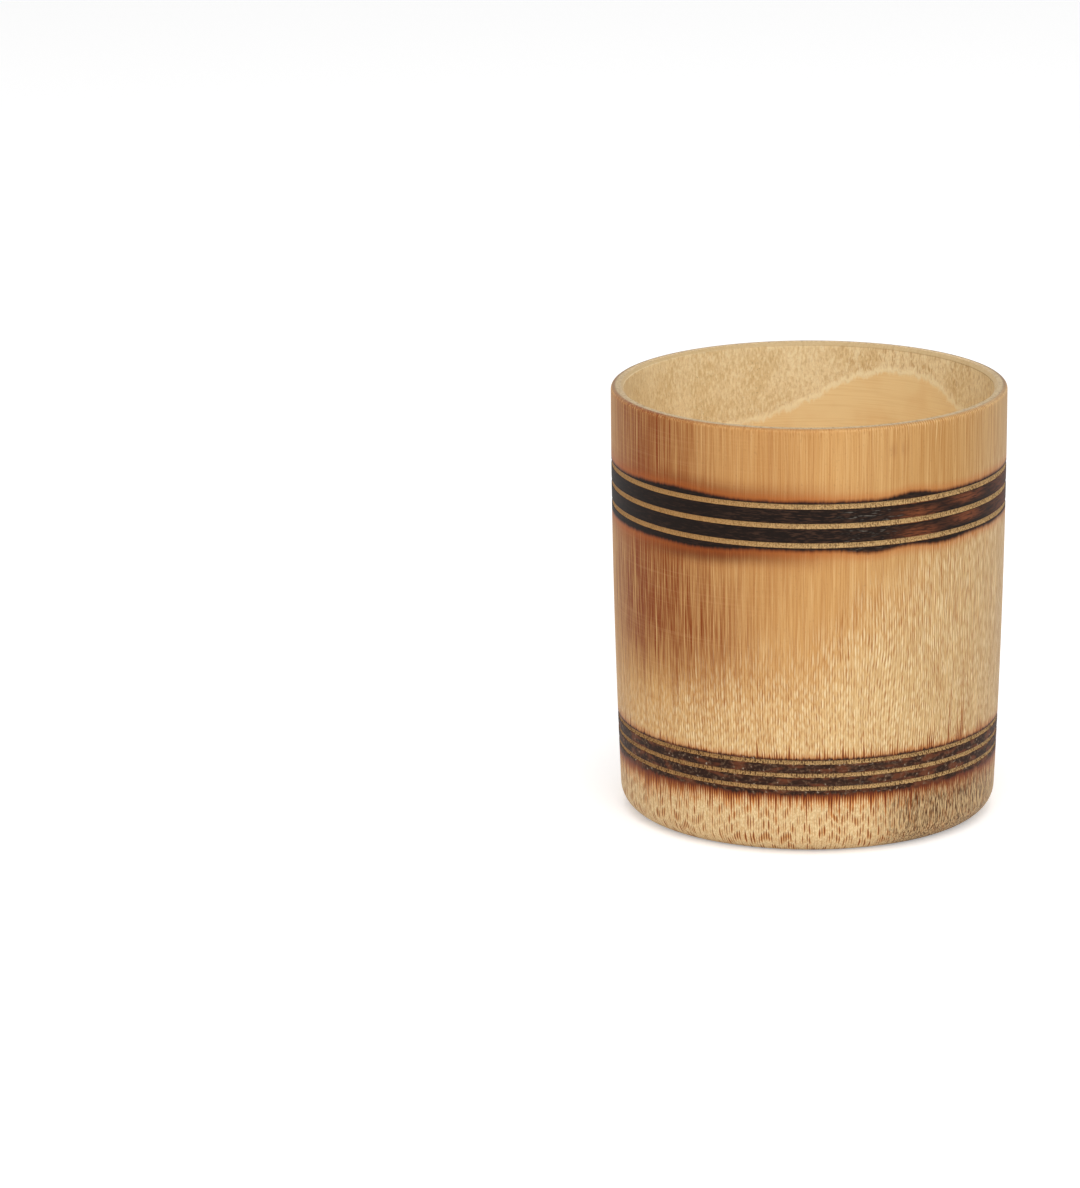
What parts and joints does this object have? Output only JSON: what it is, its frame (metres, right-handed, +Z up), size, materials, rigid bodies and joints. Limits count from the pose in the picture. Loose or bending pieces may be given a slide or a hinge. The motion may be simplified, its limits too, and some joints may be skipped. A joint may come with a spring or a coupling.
{
  "type": "bamboo cup",
  "caption": "Turned bamboo cup, nearly straight sided, with grooved and scorched bands near the mouth and the foot, closed by the culm's node plate above a foot ring.",
  "frame": {"origin": "centre of the foot, on the plane that the cup stands on, where the turning axis of the outside meets it", "axes": "+Z up along the turning axis; the picture looks along +Y and down, with +X to its right"},
  "size_m": [0.08, 0.08, 0.088],
  "materials": {
    "turned_bamboo": "turned and thinly lacquered bamboo, semi-matt, with friction-scorched bands",
    "node_plate": "natural bamboo node plate, matt, pale tan"
  },
  "bodies": {
    "root": {"culm_wall": "turned_bamboo", "floor_plate": "node_plate"}
  },
  "joints": []
}
